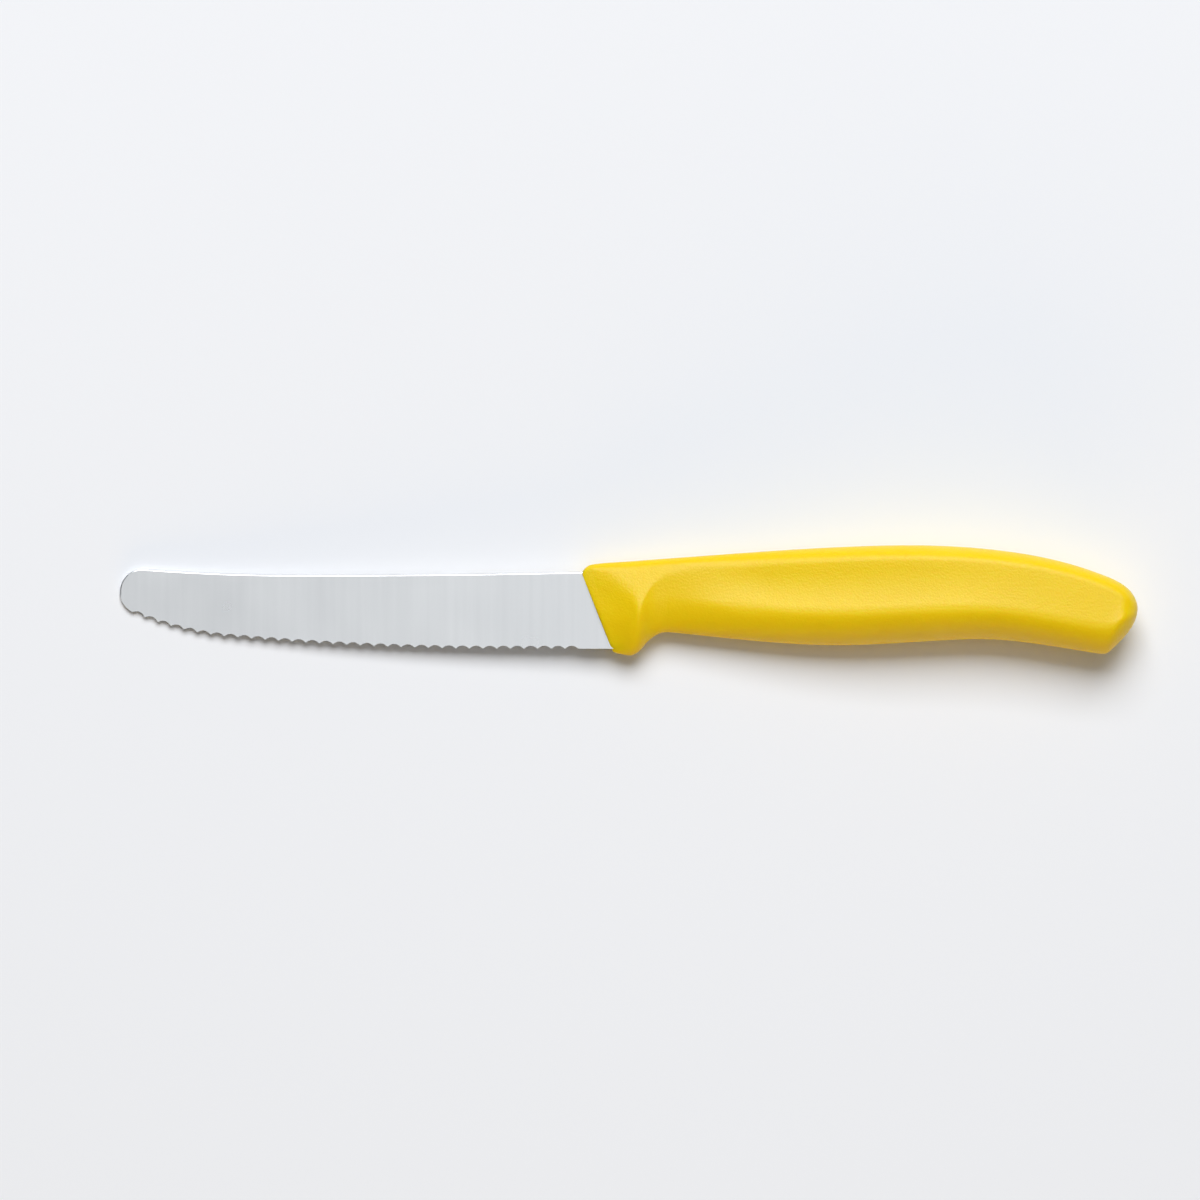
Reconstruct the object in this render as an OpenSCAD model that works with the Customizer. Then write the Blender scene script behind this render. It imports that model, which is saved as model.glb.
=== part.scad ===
// Tomato knife lying on its side on a table, seen from above.
// X runs from the rounded tip to the butt, Y from the wavy edge to the spine, Z up.
// Inside the part, lengths are taken along X from the heel of the blade (the handle is on
// the plus side), heights along Y from the straight edge line, and thickness either side
// of the middle plane of the blade. Millimetres throughout.
// The handle is moulded in one shot round a punched tang, so its cavity is the blade itself.

/* [Blade outline] */
// From the heel, where the edge enters the handle, to the end of the rounded tip
blade_len = 110; // [95:1:130]
// Radius of the rounded tip
tip_r = 5.05; // [4.4:0.05:5.4]
// Least height of the blade, from edge line to spine
waist_h = 16.44; // [16:0.05:16.9]
// How far the waist of the spine is from the heel
waist_x = 69.5; // [60:0.5:76]
// Radius of the hollow curve of the spine, from waist to tip
spine_tip_r = 465; // [380:5:700]
// Radius of the hollow curve of the spine, from waist to handle
spine_heel_r = 2900; // [2400:50:4000]
// Straight stretch of the edge line from the heel
edge_straight = 25; // [15:1:35]
// Radius of the slow curve of the edge
edge_slow_r = 686; // [500:10:900]
// How far along X the slow curve reaches
edge_slow_len = 60.6; // [50:0.5:64]

/* [Blade thickness] */
// Thickness of the sheet at the spine
spine_t = 1.2; // [1.0:0.05:1.8]
// Thickness of the ground taper at the edge, before the waves
edge_t = 0.45; // [0.3:0.05:0.7]
// Strip of full sheet left between the taper and the handle
grind_gap = 0.4; // [0.2:0.05:1]

/* [Wavy edge] */
// Number of ground waves
waves = 33; // [10:1:33]
// Pitch of the waves along the edge
wave_pitch = 3.05; // [2.4:0.01:3.05]
// Depth of each wave from point to hollow, on the side that shows
wave_depth = 0.76; // [0.4:0.02:0.9]
// Plain edge left at the heel
plain_heel = 7.45; // [5:0.05:9]
// Angle between the grind on the far side and the flank
grind_angle = 20; // [15:1:35]
// Thickness left at the very edge
edge_land = 0.04; // [0.02:0.01:0.1]

/* [Tang] */
// How deep the full height of the blade reaches into the handle
blade_seat = 3.2; // [2:0.1:4.2]
// Height of the lower side of the tang
tang_low = 6.8; // [6:0.1:8]
// Width of the tang across
tang_w = 8; // [5:0.1:8.6]
// Length of the tang from the heel
tang_len = 74; // [50:1:95]
// Diameter of the two holes that the plastic fills
tang_hole_d = 4; // [2.5:0.1:4.5]
// Distance of the first hole from the heel
tang_hole_x = 20; // [12:0.5:25]
// Distance between the two holes
tang_hole_gap = 34; // [15:0.5:40]

/* [Handle outline] */
// From the heel of the blade to the end of the butt
handle_len = 117.1; // [110:0.1:135]
// How far the slanted front edge leans forward at its upper end
front_lean = 6.7; // [5:0.1:7.5]
// Distance of the front edge's lower end from the heel
front_x = 0; // [-0.4:0.05:1]
// Drop of the front edge's lower end below the edge line
front_drop = 0.3; // [0.2:0.05:0.6]
// Height of the upper end of the straight front edge
front_top = 16.8; // [16.2:0.05:17.6]
// Length of the rounded corner between the front edge and the back
nose_run = 2.3; // [1.6:0.1:3]
// Height of the back of the handle above the front corner
nose_top = 18.8; // [18.4:0.05:19.4]
// Drop of the finger guard below the edge line
guard_drop = 1.48; // [1.0:0.02:2.5]
// Distance of the guard's lowest point from the heel
guard_x = 4.2; // [3.6:0.1:4.8]
// Length of the guard's flat underside in front of its lowest point
guard_flat = 2; // [1.2:0.1:2.4]
// Height of the roof of the finger notch
notch_h = 3.68; // [2.6:0.02:4.2]
// Distance of the finger notch from the heel
notch_x = 12.6; // [11:0.1:16]
// Distance of the middle of the grip from the heel
grip_x = 50.5; // [44:0.5:58]
// Height of the back at the middle of the grip
grip_top = 22.65; // [21:0.05:24]
// Height of the lower side at the middle of the grip
grip_low = 0.78; // [-0.5:0.02:2]
// Distance of the palm swell from the heel
palm_x = 80; // [72:0.5:86]
// Height of the back at the palm swell
palm_top = 22.55; // [21:0.05:24]
// Height of the lower side at the palm swell
palm_low = 2.13; // [0.5:0.01:3]
// Distance of the butt's shoulder from the end of the butt
shoulder_run = 9.9; // [8:0.1:13]
// Height of the back at the shoulder
shoulder_top = 17.25; // [16:0.05:19]
// Height of the lower side at the shoulder
shoulder_low = -0.9; // [-2:0.02:0.5]
// Height of the outermost point of the butt
butt_h = 9; // [7:0.1:11]
// Distance of the butt's upper corner from the end of the butt
corner_top_run = 3.1; // [2.4:0.1:4]
// Distance of the butt's lower corner from the end of the butt
corner_low_run = 6.3; // [4.8:0.1:7]
// Height of the butt's lower corner
corner_low = -0.65; // [-1.4:0.05:0.6]

/* [Handle thickness] */
// Half thickness where the blade enters
front_half = 1.4; // [1.3:0.05:1.8]
// Rounding of the edges there
front_round = 0.5; // [0.2:0.05:0.8]
// Half thickness at the ridge of the guard
guard_half = 4.85; // [4.4:0.05:5.2]
// Distance of the guard's ridge from the heel
guard_ridge_x = 6.3; // [5.5:0.1:7]
// Half thickness of the neck behind the guard
neck_half = 3.1; // [2.9:0.05:4]
// Distance of the neck from the heel
neck_x = 12; // [11:0.5:14]
// Half thickness at the belly
belly_half = 7.3; // [6:0.05:8.5]
// Distance of the belly from the heel
belly_x = 74; // [62:1:84]
// Half thickness at the butt, before its rounding
butt_half = 5.1; // [4.4:0.05:6.4]
// Rounding of the butt along the handle
butt_round = 4; // [2:0.1:6]
// Half width of the back at the front edge, before its edges are rounded
back_front = 1.1; // [0.8:0.05:1.2]
// Half width of the back along the grip, before its edges are rounded
back_half = 3; // [2:0.05:3.2]
// Distance from the heel at which the back reaches that width
back_x = 30; // [24:1:40]
// Rounding of the back's edges
back_round = 1.5; // [1:0.05:2]

/* [Handle facets] */
// Width of the slanted band along the back, at the nose
nose_band = 0.9; // [0.6:0.05:1.2]
// Width of the slanted band along the back, at the guard
band_w = 2.6; // [2.2:0.05:3]
// Width of the rounding that the band turns into along the grip
back_soft = 3.6; // [3:0.1:6]
// Width of that rounding at the butt
back_butt = 3.2; // [2.4:0.1:6]
// Slope of the guard's facet, down towards the back
facet_slope = 0.3; // [0.27:0.01:0.36]
// Length over which the guard's facet narrows forwards, to the nose
front_run = 7.5; // [6:0.1:9]
// Length over which the guard's facet narrows backwards, to the band
facet_run = 2.9; // [2.4:0.1:4]
// How much the edge between the guard's facet and the front facet is eased
front_ease = 0.6; // [0.1:0.05:1]
// How much the ridge of the guard is eased
ridge_ease = 1; // [0.2:0.1:1.6]
// How much the bottom of the neck is eased
neck_ease = 0.4; // [0.2:0.1:1]
// Distance behind the guard's ridge at which the crease starts to soften
soft_start = 3; // [2:0.5:8]
// Length over which the crease softens
soft_run = 20; // [16:1:34]
// Height of the widest line above the lower side, at the guard
ridge_guard = 9; // [8:0.1:9.4]
// Length behind the guard's ridge over which the widest line comes down
ridge_run = 7; // [5:0.5:12]
// Height of the widest line above the lower side, at the middle of the grip
ridge_up = 7.3; // [6:0.1:8]
// Height of the widest line above the lower side, at the butt
ridge_butt = 6.1; // [5.4:0.1:8]
// Length behind the neck over which the hollow deepens
hollow_run = 24; // [18:1:34]
// How much thinner the grip is at the band than at its widest line
hollow = 1.9; // [0.4:0.05:2.2]
// How much thinner the butt is at the band than at its widest line
hollow_butt = 1.2; // [0:0.05:1.6]
// How much of the hollow lies below a straight line from band to widest line
dish = 0.15; // [0:0.05:0.3]
// Roundness of the grip below its widest line: 2 is an ellipse, less is flatter
low_round = 1.6; // [1.4:0.05:2.4]

/* [Hidden] */

steel = [0.78, 0.80, 0.82];
yellow = [0.93, 0.81, 0.22];

function mix(a, b, t) = a + (b - a) * t;
function smooth(t) = let(c = min(1, max(0, t))) c * c * (3 - 2 * c);
// Points of an arc after its first point
function arc(centre, r, a0, a1, n) =
    [for (i = [1:n]) centre + r * [cos(mix(a0, a1, i / n)), sin(mix(a0, a1, i / n))]];

// Blade outline: straight edge, slow curve, quick curve, tip, hollow spine
slow_turn = asin(edge_slow_len / edge_slow_r);
slow_end = [-edge_straight - edge_slow_len, edge_slow_r * (1 - cos(slow_turn))];
slow_arc = edge_slow_r * slow_turn * PI / 180;

// The tip's circle touches the end line of the blade and the hollow curve of the spine.
spine_tip_c = [-waist_x, waist_h + spine_tip_r];
tip_x = -blade_len + tip_r;
tip_c = [tip_x, spine_tip_c.y
    - sqrt(pow(spine_tip_r + tip_r, 2) - pow(tip_x - spine_tip_c.x, 2))];

// The quick curve leaves the slow one smoothly and runs smoothly into the tip.
to_tip = slow_end - tip_c;
slow_normal = [sin(slow_turn), cos(slow_turn)];
quick_r = (tip_r * tip_r - to_tip * to_tip) / (2 * (to_tip * slow_normal + tip_r));
quick_c = slow_end + quick_r * slow_normal;
tip_turn = atan2(quick_c.x - tip_c.x, quick_c.y - tip_c.y);

// Point and turn of the edge line at a distance along it from the heel
function edge_turn(s) = s < edge_straight ? 0
    : s < edge_straight + slow_arc ? (s - edge_straight) / edge_slow_r * 180 / PI
    : slow_turn + (s - edge_straight - slow_arc) / quick_r * 180 / PI;
function edge_point(s) = let(a = edge_turn(s))
    s < edge_straight ? [-s, 0]
    : s < edge_straight + slow_arc
        ? [-edge_straight - edge_slow_r * sin(a), edge_slow_r * (1 - cos(a))]
    : quick_c - quick_r * [sin(a), cos(a)];

spine_heel_c = [-waist_x, waist_h + spine_heel_r];
function spine_h(x) = spine_heel_c.y - sqrt(pow(spine_heel_r, 2) - pow(x + waist_x, 2));

// Half thickness of the ground taper at a height above the edge line
blade_top = tip_c.y + tip_r;
function flank(y) = (edge_t + (spine_t - edge_t) * y / blade_top) / 2;

// The seat's end inside the handle runs along the handle's slanted front.
seat_top_x = front_x + blade_seat - front_lean;
seat_top = [seat_top_x, spine_h(seat_top_x)];
seat_low = [front_x + blade_seat, 0];
function seat_at(y) = mix(seat_low, seat_top, y / seat_top.y);

tang_end_r = tang_w / 2;
tang_mid = tang_low + tang_end_r;
tang_end_c = [tang_len - tang_end_r, tang_mid];

sheet_outline = concat(
    [seat_low, [-edge_straight, 0]],
    arc([-edge_straight, edge_slow_r], edge_slow_r, 270, 270 - slow_turn, 12),
    arc(quick_c, quick_r, 270 - slow_turn, 270 - tip_turn, 14),
    arc(tip_c, tip_r, 270 - tip_turn, atan2(spine_tip_c.y - tip_c.y, spine_tip_c.x - tip_c.x), 26),
    arc(spine_tip_c, spine_tip_r,
        270 - atan2(spine_tip_c.x - tip_c.x, spine_tip_c.y - tip_c.y), 270, 8),
    arc(spine_heel_c, spine_heel_r, 270, 270 + asin((seat_top_x + waist_x) / spine_heel_r), 8),
    [seat_at(tang_low + tang_w), tang_end_c + [0, tang_end_r]],
    arc(tang_end_c, tang_end_r, 90, -90, 20),
    [seat_at(tang_low)]);

module sheet() {
    difference() {
        polygon(sheet_outline);
        for (x = [tang_hole_x, tang_hole_x + tang_hole_gap])
            translate([x, tang_mid])
                circle(d = tang_hole_d, $fn = 48);
    }
}

// What the grinding takes off one flank, from the spine down to the edge line. It stops
// along the slanted front of the handle.
module taper_cut() {
    over = 3;
    low = -over;
    high = blade_top;
    lean = front_lean / front_top;
    end = front_x - grind_gap;
    intersection() {
        linear_extrude(height = spine_t)
            polygon([[end - low * lean, low], [end - high * lean, high],
                     [-blade_len - over, high], [-blade_len - over, low]]);
        translate([-blade_len - over, 0, 0])
            rotate([90, 0, 90])
                linear_extrude(height = blade_len + 2 * over)
                    polygon([[low, flank(low)], [high, flank(high)],
                             [high, spine_t], [low, spine_t]]);
    }
}

// Flat sheet, blade and tang in one, with the blade ground to a taper on both flanks
module blade_blank() {
    difference() {
        linear_extrude(height = spine_t, center = true)
            sheet();
        taper_cut();
        mirror([0, 0, 1])
            taper_cut();
    }
}

// One wave: a round grinding wheel run up the far side at a low angle. Its innermost line
// starts just under the near side, at the hollow of the wave, and passes inwards and down.
wave_sag = wave_depth * sin(grind_angle);
wheel_r = (pow(wave_pitch / 2, 2) + pow(wave_sag, 2)) / (2 * wave_sag);
module wave_cut(s) {
    reach = 9;
    a = edge_turn(s);
    p = edge_point(s);
    translate([p.x, p.y, 0])
        rotate([0, 0, -a])
            translate([0, wave_depth, flank(p.y + wave_depth) - edge_land])
                rotate([-grind_angle, 0, 0])
                    translate([0, 0, -wheel_r])
                        rotate([90, 0, 0])
                            cylinder(r = wheel_r, h = reach, center = true, $fn = 96);
}

module blade_shape() {
    difference() {
        blade_blank();
        for (i = [0:waves - 1])
            wave_cut(plain_heel + (i + 0.5) * wave_pitch);
    }
}

// Handle: sections lofted between an upper and a lower line
// A line is a list of [point, direction in degrees]; the curve between two is a cubic.
function heading(a) = [cos(a), sin(a)];
function cubic(p, q, m, n, t) =
    (2 * t * t * t - 3 * t * t + 1) * p + (t * t * t - 2 * t * t + t) * m
    + (3 * t * t - 2 * t * t * t) * q + (t * t * t - t * t) * n;
function along(line, s) =
    let(k = min(floor(s), len(line) - 2),
        p = line[k][0],
        q = line[k + 1][0],
        span = norm(q - p))
    cubic(p, q, span * heading(line[k][1]), span * heading(line[k + 1][1]), s - k);

butt = [handle_len, butt_h];
nose_x = front_x - front_lean + nose_run;
rise_x = mix(guard_x, notch_x, 0.36);

// The back climbs in a nearly straight line from the nose to the middle of the grip.
back_slope = atan2(grip_top - nose_top, grip_x - nose_x);
function back_at(x) = let(t = (x - nose_x) / (grip_x - nose_x))
    [x, mix(nose_top, grip_top, t + 0.185 * t * (1 - t))];
back_line = [
    [[front_x - front_lean, front_top], 80],
    [[nose_x, nose_top], 9],
    [back_at(guard_x), back_slope],
    [back_at(rise_x), back_slope],
    [back_at(notch_x), back_slope],
    [[grip_x, grip_top], 2.6],
    [[palm_x, palm_top], -4.6],
    [[handle_len - shoulder_run, shoulder_top], -20],
    [[handle_len - corner_top_run, mix(butt_h, shoulder_top, 0.63)], -34],
    [butt, -90]];
low_line = [
    [[front_x, -front_drop], -65],
    [[guard_x - guard_flat, -0.84 * guard_drop], -12],
    [[guard_x, -guard_drop], 5],
    [[rise_x, mix(-guard_drop, notch_h, 0.43)], 52],
    [[notch_x, notch_h], -5.5],
    [[grip_x, grip_low], 0],
    [[palm_x, palm_low], 1.5],
    [[handle_len - shoulder_run, shoulder_low], -9],
    [[handle_len - corner_low_run, corner_low], 42],
    [butt, 90]];

neck_tall = back_at(notch_x).y - notch_h;

// Rings in each stretch between two stations, closer where the shape turns
ring_counts = [8, 9, 9, 12, 20, 11, 11, 6, 9];
last = len(ring_counts);
ring_places = concat([0],
    [for (k = [0:last - 1]) for (i = [1:ring_counts[k]])
        k + (k == last - 1 ? sin(90 * i / ring_counts[k]) : i / ring_counts[k])]);

// 0 up to the middle of the grip, 1 at the butt
function past_grip(x) = smooth((x - grip_x) / (handle_len - grip_x));
// Height of the widest line above the lower side, in a section at x
function ridge_rise(x, tall) = min(0.52 * tall,
    mix(mix(ridge_guard, ridge_up, smooth((x - guard_ridge_x) / ridge_run)),
        ridge_butt, past_grip(x)));
// Where a ring crosses the widest line of the handle
function ring_x(s) =
    let(a = along(back_line, s), b = along(low_line, s), tall = norm(a - b))
    mix(b.x, a.x, ridge_rise(b.x, tall) / max(tall, 0.001));

// The lesser of two values, with the change from one to the other eased
function eased_min(a, b, ease) =
    min(a, b) - pow(max(0, ease - abs(a - b)), 2) / (4 * max(ease, 0.001));

// Rounding factor of an edge at a distance inside it
function rounding(d, r) = sqrt(1 - pow(1 - min(1, max(0, d / r)), 2));

ridge_start = ring_x(0);
function back_width(x) =
    mix(back_front, back_half, min(1, (x - ridge_start) / (back_x - ridge_start)));

// Distance of the crease below the back: deepest at the guard's ridge
facet_d = (guard_half - back_width(guard_ridge_x)) / facet_slope;
function facet_end(x, band) = x < guard_ridge_x
    ? mix(nose_band, facet_d, pow(max(0, 1 - (guard_ridge_x - x) / front_run), 1.3))
    : mix(band, facet_d, exp((guard_ridge_x - x) / facet_run));

// Half thickness along the widest line: up the front, down behind the guard, up to the belly
function front_rise(x) = let(p = x - ridge_start)
    mix(front_half + front_round * rounding(p, 4 * front_round), guard_half,
        pow(max(0, p / (guard_ridge_x - ridge_start)), 1.6));
function guard_fall(x) = back_width(x) + facet_slope
    * mix(band_w, facet_d, exp((guard_ridge_x - x) / facet_run));
function grip_rise(x) = x < belly_x
    ? mix(neck_half, belly_half, sin(90 * max(0, (x - neck_x) / (belly_x - neck_x))))
    : mix(belly_half, butt_half, pow((x - belly_x) / (handle_len - belly_x), 1.6));
function ridge_half(x) = eased_min(front_rise(x),
    -eased_min(-guard_fall(x), -grip_rise(x), neck_ease), ridge_ease);

back_steps = 8;
flank_steps = 7;
low_steps = 9;

// Half section from back to lower side: pairs of [distance below the back, half thickness]
function half_section(x, tall, up) =
    let(ridge_d = tall - up,
        widest = ridge_half(x) * rounding(handle_len - x, butt_round),
        soft = smooth((x - guard_ridge_x - soft_start) / soft_run),
        band = min(mix(mix(band_w, back_soft, soft), back_butt, past_grip(x)), 0.36 * tall),
        back_w = back_width(x),
        planned_d = min(0.94 * ridge_d, facet_end(x, band)),
        planar = min(widest, back_w + facet_slope * planned_d),
        crease_d = x < neck_x ? (planar - back_w) / facet_slope : planned_d,
        sunk = widest - mix(hollow, hollow_butt, past_grip(x)) * smooth(tall / neck_tall),
        bend = smooth((x - neck_x) / hollow_run),
        crease = mix(planar, sunk, bend),
        back = min(0.8 * crease, back_w),
        ease = front_ease * smooth(1 - (x - guard_ridge_x) / facet_run))
    concat(
        [for (j = [0:back_steps])
            let(d = crease_d * (1 - cos(90 * j / back_steps)),
                slanted = eased_min(mix(back, crease, d / crease_d), crease, ease)
                    * rounding(d, min(back_round, 0.9 * crease_d)),
                rounded = crease * rounding(d, crease_d))
            [d, mix(slanted, rounded, soft)]],
        [for (j = [1:flank_steps])
            let(t = j / flank_steps,
                d = mix(crease_d, ridge_d, t),
                dished = mix(t, (1 + dish) * t * t - dish * t, bend * (1 - past_grip(x))),
                face = mix(crease, widest, dished))
            [d, eased_min(mix(back, crease, d / crease_d), face, ease)]],
        [for (j = [1:low_steps])
            let(t = sin(90 * j / low_steps))
            [ridge_d + up * t,
             j == low_steps ? 0 : widest * pow(1 - pow(t, low_round), 1 / low_round)]]);

function ring(s) =
    let(a = along(back_line, s),
        b = along(low_line, s),
        tall = norm(a - b),
        half = half_section(ring_x(s), tall, ridge_rise(b.x, tall)),
        n = len(half),
        place = [for (h = half) mix(a, b, h[0] / tall)])
    concat(
        [for (j = [0:n - 1]) [place[j].x, place[j].y, half[j][1]]],
        [for (j = [n - 2:-1:1]) [place[j].x, place[j].y, -half[j][1]]]);

rings = [for (i = [0:len(ring_places) - 2]) ring(ring_places[i])];

module handle_body() {
    m = len(rings[0]);
    n = len(rings);
    points = concat([for (r = rings) for (p = r) p], [[butt.x, butt.y, 0]]);
    sides = [for (i = [0:n - 2]) for (j = [0:m - 1])
        let(a = i * m + j, b = i * m + (j + 1) % m, c = a + m, d = b + m)
        each [[a, d, b], [a, c, d]]];
    front = [[for (j = [0:m - 1]) j]];
    end = [for (j = [0:m - 1]) [(n - 1) * m + (j + 1) % m, (n - 1) * m + j, n * m]];
    polyhedron(points, concat(front, sides, end));
}

module handle_shape() {
    difference() {
        handle_body();
        blade_blank();
    }
}

// Lying on the table: the tip and the lowest point of the handle carry the knife
tip_half = flank(tip_c.y);
rest_angle = max([for (r = rings) for (p = r) atan2(p.z - tip_half, p.x + blade_len)]);
crest = max([for (s = ring_places) along(back_line, s).y]);
middle = [(handle_len - blade_len) / 2 * cos(rest_angle), (crest - guard_drop) / 2];
tip_lift = max([for (p = sheet_outline)
    flank(p.y) * cos(rest_angle) - p.x * sin(rest_angle)]);

module at_rest() {
    translate([-middle.x, -middle.y, tip_lift])
        rotate([0, -rest_angle, 0])
            children();
}

module blade() {
    color(steel)
        at_rest()
            blade_shape();
}

module handle() {
    color(yellow)
        at_rest()
            handle_shape();
}

blade();
handle();
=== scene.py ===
"""A yellow-handled tomato knife lying on its side on a pale table, seen from straight above."""
import math

import bmesh
import bpy
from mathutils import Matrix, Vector


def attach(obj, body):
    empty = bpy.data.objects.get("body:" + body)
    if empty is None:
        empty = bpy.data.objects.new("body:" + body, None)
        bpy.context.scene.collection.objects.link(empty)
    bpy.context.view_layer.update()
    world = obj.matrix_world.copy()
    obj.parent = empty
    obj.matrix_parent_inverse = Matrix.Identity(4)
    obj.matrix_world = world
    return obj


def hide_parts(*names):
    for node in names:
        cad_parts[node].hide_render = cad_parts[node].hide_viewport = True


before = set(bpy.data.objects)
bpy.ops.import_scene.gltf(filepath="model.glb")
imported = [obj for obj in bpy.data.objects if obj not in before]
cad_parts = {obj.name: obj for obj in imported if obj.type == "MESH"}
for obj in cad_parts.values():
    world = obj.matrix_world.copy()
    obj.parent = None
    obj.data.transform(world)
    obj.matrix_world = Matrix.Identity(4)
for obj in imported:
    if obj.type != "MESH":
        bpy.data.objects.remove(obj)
MM = 0.001

SAME_POINT = 0.001 * MM          # points this close are one point

# Shaping of the blade
FLANK_FLAT = math.radians(0.1)   # neighbouring faces that turn less than this are one flat face
SPINE_ROUND = 0.32 * MM          # rounding of the back's two edges
SPINE_STEPS = 6
SPINE_END = -9 * MM              # an edge of the back that starts past this is inside the handle
FLANK_NORMAL_Z = 0.99            # a flank faces at least this straight up or down
BACK_NORMAL_Z = 0.2              # the back faces sideways, with no more rise than this
BACK_NORMAL_Y = -0.2             # round the tip, the back ends where it turns this far to the wavy edge
BLADE_SMOOTH = math.radians(17)  # below the 20 degrees at which the waves meet the far flank
FLANK_WEIGHT = 100               # how firmly shading follows the large flat flanks

# Shaping of the handle
HANDLE_SMOOTH = math.radians(60)

# Colours
STEEL_DARK = (0.745, 0.77, 0.79)
STEEL_LIGHT = (0.785, 0.81, 0.83)
YELLOW_DARK = (0.845, 0.595, 0.003)
YELLOW_LIGHT = (0.87, 0.62, 0.004)
TABLE_DARK = (0.875, 0.90, 0.945)
TABLE_LIGHT = (0.885, 0.91, 0.955)
ROOM_WHITE = (0.985, 0.99, 1.0)
LAMP_WHITE = (1.0, 1.0, 1.0)
LAMP_WARM = (1.0, 0.62, 0.12)

# Table and lamps, in metres and watts; the lamps face the knife
TABLE_SIZE = 6
WINDOW_PLACE = (0.05, 2.08, 2.68)
WINDOW_SIZE = (2.4, 2.1)
WINDOW_POWER = 124.0
FILL_PLACE = (0.0, -2.6, 0.42)
FILL_SIZE = (2.2, 0.5)
FILL_POWER = 21.0

# The room's light: a direction's z is 1 straight overhead, and its x is below 0 on the tip's side
OVERHEAD_Z = (0.87, 0.99)        # between these the light rises from dim to bright
OVERHEAD_LIGHT = (0.10, 1.34)
TIP_SIDE_X = (-0.17, -0.02)      # between these it rises from the tip side's share to the whole
TIP_SIDE_SHARE = (0.20, 1.0)

# The photograph's view
CAMERA_HEIGHT = 2.6
VIEW_WIDTH = 268.1 * MM          # how much of the table the picture shows
VIEW_CENTRE = (-6.23 * MM, 0.07 * MM)
SENSOR = 36.0                    # width of the camera's film in millimetres


def only(obj):
    """Makes obj the one selected and active object."""
    bpy.ops.object.select_all(action="DESELECT")
    obj.select_set(True)
    bpy.context.view_layer.objects.active = obj


# Node helpers
def new_material(name):
    """A material with its nodes, links, principled shader and object coordinates."""
    mat = bpy.data.materials.new(name)
    mat.use_nodes = True
    nodes = mat.node_tree.nodes
    shader = nodes["Principled BSDF"]
    place = nodes.new("ShaderNodeTexCoord")
    return mat, nodes, mat.node_tree.links, shader, place.outputs["Object"]


def stretched(nodes, links, source, scale):
    """source scaled differently along each axis."""
    node = nodes.new("ShaderNodeMapping")
    node.inputs["Scale"].default_value = scale
    links.new(source, node.inputs["Vector"])
    return node.outputs["Vector"]


def noise(nodes, links, source, scale, detail=2.0, roughness=0.5):
    """Cloudy noise over source, with scale waves to the metre."""
    node = nodes.new("ShaderNodeTexNoise")
    node.inputs["Scale"].default_value = scale
    node.inputs["Detail"].default_value = detail
    node.inputs["Roughness"].default_value = roughness
    links.new(source, node.inputs["Vector"])
    return node.outputs["Fac"]


def ranged(nodes, links, source, span, to_span, smooth=False):
    """source taken from span to to_span, held at the ends."""
    node = nodes.new("ShaderNodeMapRange")
    node.interpolation_type = "SMOOTHSTEP" if smooth else "LINEAR"
    for name, value in zip(("From Min", "From Max", "To Min", "To Max"), (*span, *to_span)):
        node.inputs[name].default_value = value
    links.new(source, node.inputs["Value"])
    return node.outputs["Result"]


def toned(nodes, links, source, span, dark, light):
    """source as a colour, dark at the span's start and light at its end."""
    node = nodes.new("ShaderNodeValToRGB")
    for element, place, colour in zip(node.color_ramp.elements, span, (dark, light)):
        element.position = place
        element.color = (*colour, 1)
    links.new(source, node.inputs["Fac"])
    return node.outputs["Color"]


def bump(nodes, links, height, strength, distance, normal=None):
    """A normal that follows height, laid over another normal where one is given."""
    node = nodes.new("ShaderNodeBump")
    node.inputs["Strength"].default_value = strength
    node.inputs["Distance"].default_value = distance
    links.new(height, node.inputs["Height"])
    if normal:
        links.new(normal, node.inputs["Normal"])
    return node.outputs["Normal"]


# Materials
def steel_material():
    """Satin stainless: fine grinding lines from spine to edge, a few longer marks."""
    mat, nodes, links, shader, place = new_material("satin_blade_steel")
    short_lines = stretched(nodes, links, place, scale=(1.0, 0.012, 1.0))
    long_lines = stretched(nodes, links, place, scale=(1.0, 0.03, 1.0))
    fine = noise(nodes, links, short_lines, scale=5200, detail=3)
    broad = noise(nodes, links, long_lines, scale=620, detail=3)
    cloud = noise(nodes, links, place, scale=60)
    tone = toned(nodes, links, broad, (0.25, 0.75), STEEL_DARK, STEEL_LIGHT)
    gloss = ranged(nodes, links, cloud, (0.3, 0.7), (0.27, 0.36))
    low = bump(nodes, links, broad, strength=0.04, distance=0.02 * MM)
    ground = bump(nodes, links, fine, strength=0.15, distance=0.012 * MM, normal=low)

    shader.inputs["Metallic"].default_value = 1.0
    links.new(tone, shader.inputs["Base Color"])
    links.new(gloss, shader.inputs["Roughness"])
    links.new(ground, shader.inputs["Normal"])
    return mat


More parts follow.
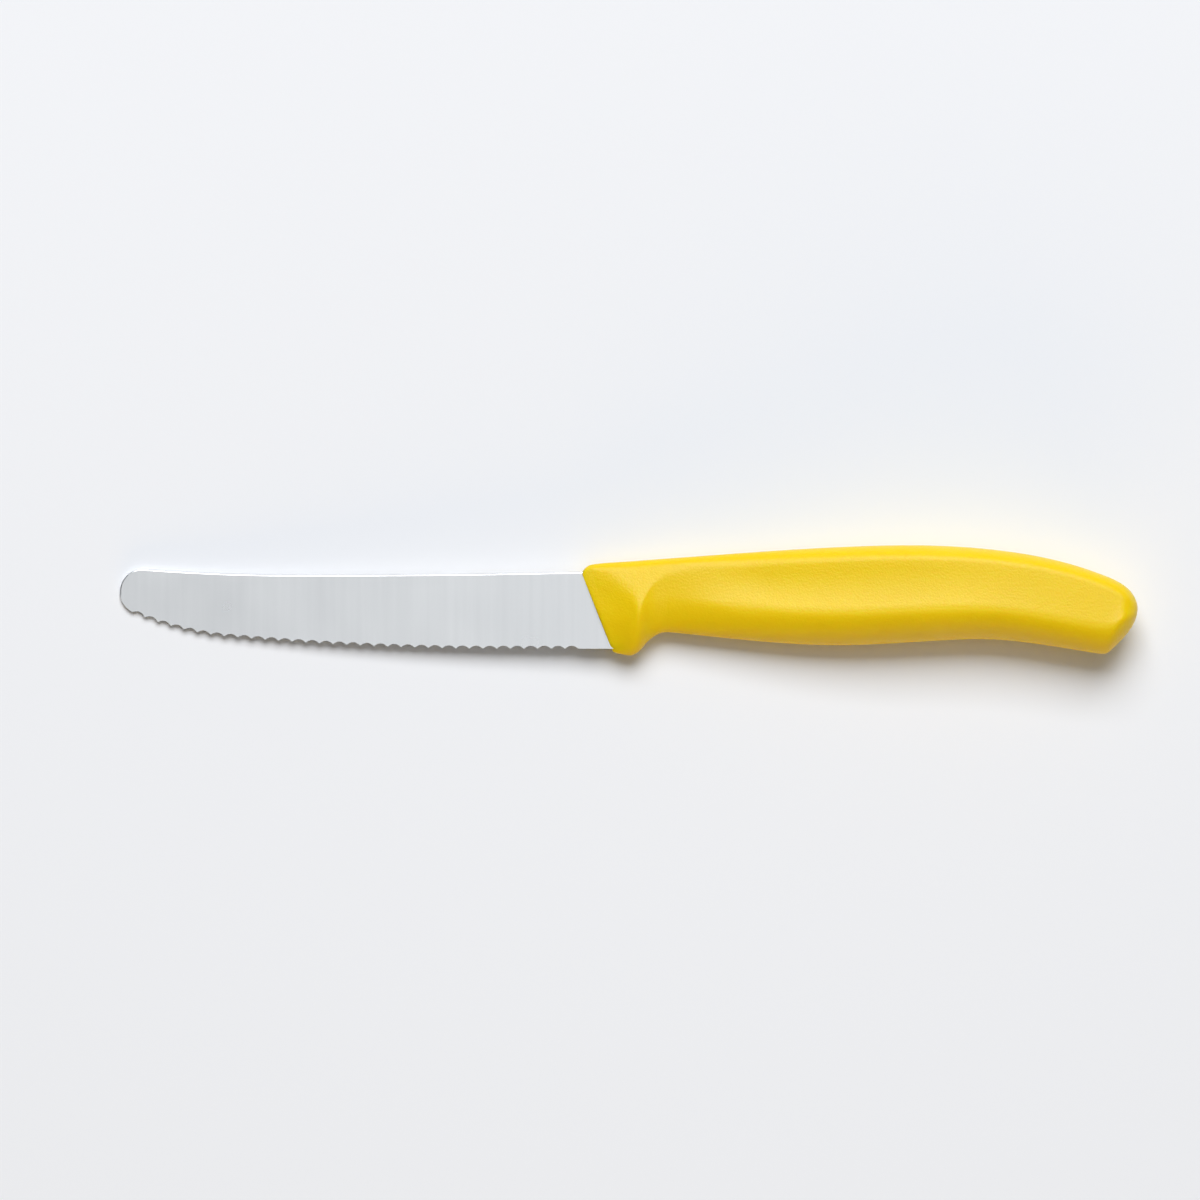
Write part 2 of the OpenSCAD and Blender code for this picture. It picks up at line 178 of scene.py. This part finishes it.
def handle_material():
    """Matte yellow moulded plastic with a fine eroded grain."""
    mat, nodes, links, shader, place = new_material("yellow_moulded_plastic")
    grain = noise(nodes, links, place, scale=2100, roughness=0.6)
    fine_grain = noise(nodes, links, place, scale=7000)
    cloud = noise(nodes, links, place, scale=45)
    tone = toned(nodes, links, cloud, (0.3, 0.7), YELLOW_DARK, YELLOW_LIGHT)
    gloss = ranged(nodes, links, grain, (0.3, 0.7), (0.32, 0.42))
    low = bump(nodes, links, grain, strength=0.8, distance=0.1 * MM)
    eroded = bump(nodes, links, fine_grain, strength=0.4, distance=0.02 * MM, normal=low)

    shader.inputs["Specular IOR Level"].default_value = 0.25
    shader.inputs["Subsurface Weight"].default_value = 0.4
    shader.inputs["Subsurface Radius"].default_value = (1.0, 0.6, 0.06)
    shader.inputs["Subsurface Scale"].default_value = 2.0 * MM
    links.new(tone, shader.inputs["Base Color"])
    links.new(gloss, shader.inputs["Roughness"])
    links.new(eroded, shader.inputs["Normal"])
    return mat


def table_material():
    """Plain near-white matte table top."""
    mat, nodes, links, shader, place = new_material("pale_table")
    shade = noise(nodes, links, place, scale=3.0, detail=1)
    tone = toned(nodes, links, shade, (0.3, 0.7), TABLE_DARK, TABLE_LIGHT)

    shader.inputs["Roughness"].default_value = 0.85
    shader.inputs["Specular IOR Level"].default_value = 0.1
    links.new(tone, shader.inputs["Base Color"])
    return mat


# Pieces
def copy_of(node, name):
    """A merged copy of a CAD node's mesh as a piece of its own."""
    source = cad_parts[node]
    mesh = source.data.copy()
    mesh.transform(source.matrix_world)
    piece = bpy.data.objects.new(name, mesh)
    bpy.context.scene.collection.objects.link(piece)
    mesh.materials.clear()
    only(piece)
    bpy.ops.object.mode_set(mode="EDIT")
    bpy.ops.mesh.select_all(action="SELECT")
    bpy.ops.mesh.remove_doubles(threshold=SAME_POINT)
    bpy.ops.mesh.customdata_custom_splitnormals_clear()
    bpy.ops.object.mode_set(mode="OBJECT")
    return piece


def finish_piece(piece, node, mat, smooth):
    """Shades a piece, gives it its material and puts it in its CAD node's place."""
    only(piece)
    bpy.ops.object.shade_smooth_by_angle(angle=smooth)
    piece.data.materials.append(mat)
    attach(piece, "root")
    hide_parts(node)


def is_spine_edge(edge):
    """Whether a visible edge lies between a flank and the blade's back."""
    if len(edge.link_faces) != 2:
        return False
    flank, back = sorted((face.normal for face in edge.link_faces), key=lambda n: -abs(n.z))
    turns = (abs(flank.z) > FLANK_NORMAL_Z
             and abs(back.z) < BACK_NORMAL_Z
             and back.y > BACK_NORMAL_Y)
    return turns and min(corner.co.x for corner in edge.verts) < SPINE_END


def make_blade():
    """The CAD blade with the edges of its back rounded."""
    piece = copy_of("blade", "blade_plate")
    bpy.ops.object.mode_set(mode="EDIT")
    bpy.ops.mesh.select_all(action="SELECT")
    bpy.ops.mesh.dissolve_limited(angle_limit=FLANK_FLAT)
    bpy.ops.mesh.select_all(action="DESELECT")
    bpy.ops.mesh.select_mode(type="EDGE")
    for edge in bmesh.from_edit_mesh(piece.data).edges:
        if is_spine_edge(edge):
            edge.select_set(True)
    bmesh.update_edit_mesh(piece.data)
    bpy.ops.mesh.bevel(offset=SPINE_ROUND, segments=SPINE_STEPS, affect="EDGES")
    bpy.ops.mesh.select_all(action="SELECT")
    bpy.ops.mesh.dissolve_degenerate(threshold=SAME_POINT)
    bpy.ops.object.mode_set(mode="OBJECT")
    finish_piece(piece, "blade", steel_material(), BLADE_SMOOTH)
    flat = piece.modifiers.new("flat_flanks", "WEIGHTED_NORMAL")
    flat.weight = FLANK_WEIGHT
    flat.keep_sharp = True
    bpy.ops.object.modifier_apply(modifier=flat.name)


def make_handle():
    """The CAD handle, shaded smooth, with its moulded grain."""
    piece = copy_of("handle", "handle_grip")
    finish_piece(piece, "handle", handle_material(), HANDLE_SMOOTH)


# Stage
def make_table():
    """The table top that the knife lies on."""
    bpy.ops.object.select_all(action="DESELECT")
    bpy.ops.mesh.primitive_plane_add(size=TABLE_SIZE, location=(0, 0, 0))
    table = bpy.context.object
    table.name = "table_top"
    table.data.materials.append(table_material())


def make_world():
    """Soft white room: brightest overhead, dimmer towards the horizon and the tip's side."""
    world = bpy.data.worlds.new("soft_room")
    bpy.context.scene.world = world
    world.use_nodes = True
    nodes, links = world.node_tree.nodes, world.node_tree.links
    place = nodes.new("ShaderNodeTexCoord")
    split = nodes.new("ShaderNodeSeparateXYZ")
    links.new(place.outputs["Generated"], split.inputs["Vector"])
    overhead = ranged(nodes, links, split.outputs["Z"], OVERHEAD_Z, OVERHEAD_LIGHT, smooth=True)
    tip_side = ranged(nodes, links, split.outputs["X"], TIP_SIDE_X, TIP_SIDE_SHARE, smooth=True)
    both = nodes.new("ShaderNodeMath")
    both.operation = "MULTIPLY"
    links.new(overhead, both.inputs[0])
    links.new(tip_side, both.inputs[1])
    back = nodes["Background"]
    back.inputs["Color"].default_value = (*ROOM_WHITE, 1)
    links.new(both.outputs[0], back.inputs["Strength"])


def make_lamp(name, place, size, power, colour):
    """A soft rectangular lamp at place, facing the knife."""
    data = bpy.data.lights.new(name, "AREA")
    data.shape = "RECTANGLE"
    data.size, data.size_y = size
    data.energy = power
    data.color = colour
    lamp = bpy.data.objects.new(name, data)
    bpy.context.scene.collection.objects.link(lamp)
    lamp.location = place
    lamp.rotation_euler = (-Vector(place)).to_track_quat("-Z", "Y").to_euler()


def make_camera():
    """A camera straight above the knife, framed as in the photograph."""
    data = bpy.data.cameras.new("overhead_camera")
    data.sensor_width = SENSOR
    data.lens = SENSOR * CAMERA_HEIGHT / VIEW_WIDTH
    camera = bpy.data.objects.new("overhead_camera", data)
    bpy.context.scene.collection.objects.link(camera)
    camera.location = (*VIEW_CENTRE, CAMERA_HEIGHT)
    bpy.context.scene.camera = camera


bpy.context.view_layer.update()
make_blade()
make_handle()
make_table()
make_world()
make_lamp("window_light", WINDOW_PLACE, WINDOW_SIZE, WINDOW_POWER, LAMP_WHITE)
make_lamp("front_fill", FILL_PLACE, FILL_SIZE, FILL_POWER, LAMP_WARM)
make_camera()
bpy.context.scene.view_settings.view_transform = "Standard"
